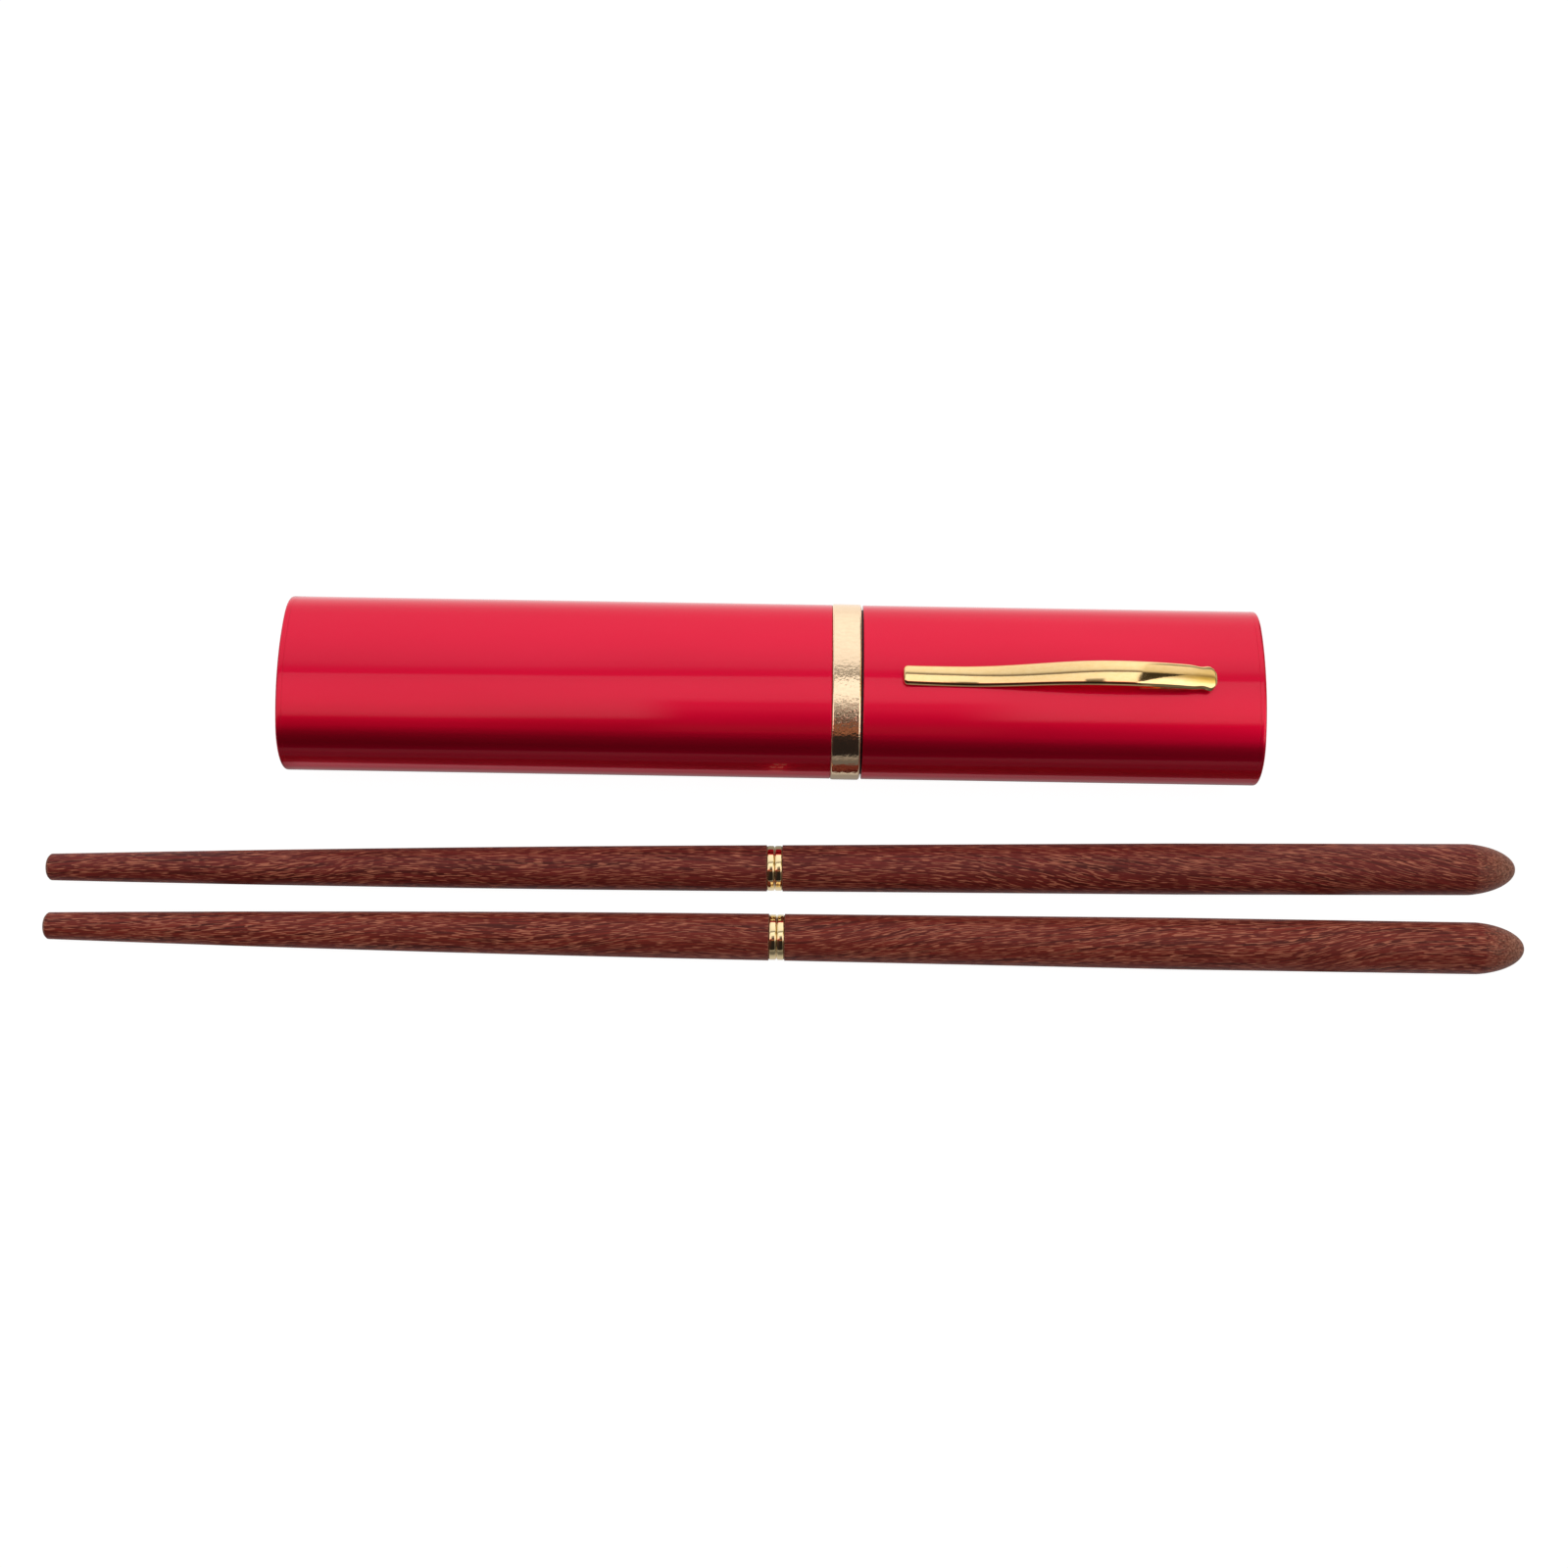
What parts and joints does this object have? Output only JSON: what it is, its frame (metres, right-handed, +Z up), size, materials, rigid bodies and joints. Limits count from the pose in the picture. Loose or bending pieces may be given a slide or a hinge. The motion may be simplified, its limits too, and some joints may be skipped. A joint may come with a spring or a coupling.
{
  "type": "portable chopstick case",
  "caption": "Flat oval metal tube case with a pull-off clip cap and a gold collar, with its pair of screw-together wooden chopsticks lying in front.",
  "frame": {"origin": "middle of the whole set's footprint, on the surface it lies on", "axes": "+X along the case from the body to the cap, +Y from the chopsticks towards the case, +Z up"},
  "size_m": [0.2255, 0.0552, 0.0208],
  "materials": {
    "red_aluminium": "satin red anodised",
    "gold_metal": "polished gold plated",
    "black_plastic": "matte",
    "steel": "plain",
    "wood": "satin oiled hardwood"
  },
  "bodies": {
    "case_body": {"body_tube": "red_aluminium", "body_end_plug": "red_aluminium", "neck_sleeve": "black_plastic", "collar_band": "gold_metal"},
    "cap": {"cap_tube": "red_aluminium", "cap_end_plug": "red_aluminium", "clip_foot": "gold_metal", "clip_rivet": "steel", "clip_backing_plate": "steel"},
    "clip": {"clip_arm": "gold_metal"},
    "rear_handle": {"rear_handle_shaft": "wood", "rear_handle_ferrule": "gold_metal"},
    "rear_tip": {"rear_tip_shaft": "wood", "rear_tip_ferrule": "gold_metal"},
    "front_handle": {"front_handle_shaft": "wood", "front_handle_ferrule": "gold_metal"},
    "front_tip": {"front_tip_shaft": "wood", "front_tip_ferrule": "gold_metal"}
  },
  "joints": [
    {"name": "cap_pull", "type": "slide", "parent": "case_body", "child": "cap", "axis": [1, 0, 0], "range_m": [0, 0.06]},
    {"name": "clip_flex", "type": "hinge", "parent": "cap", "child": "clip", "pos_m": [0.06363, 0.01388, 0.01847], "axis": [0, 1, 0], "range_deg": [0, 4], "stiffness_Nm_per_rad": 0.1},
    {"name": "rear_turn", "type": "hinge", "parent": "case_body", "child": "rear_handle", "pos_m": [-0.00104, -0.01303, 0.00354], "axis": [0.9999, 0.014, 0.0062], "range_deg": [0, 2880]},
    {"name": "rear_part", "type": "slide", "parent": "case_body", "child": "rear_tip", "axis": [-0.9999, -0.014, -0.0062], "range_m": [0, 0.008]},
    {"name": "front_turn", "type": "hinge", "parent": "case_body", "child": "front_handle", "pos_m": [-0.00056, -0.02372, 0.00354], "axis": [1, 0, 0.0062], "range_deg": [0, 2880]},
    {"name": "front_part", "type": "slide", "parent": "case_body", "child": "front_tip", "axis": [-1, 0, -0.0062], "range_m": [0, 0.008]}
  ],
  "couplings": [
    {"joint": "rear_turn", "follows": "rear_part", "rad_per_m": 6283.2},
    {"joint": "front_turn", "follows": "front_part", "rad_per_m": 6283.2}
  ]
}
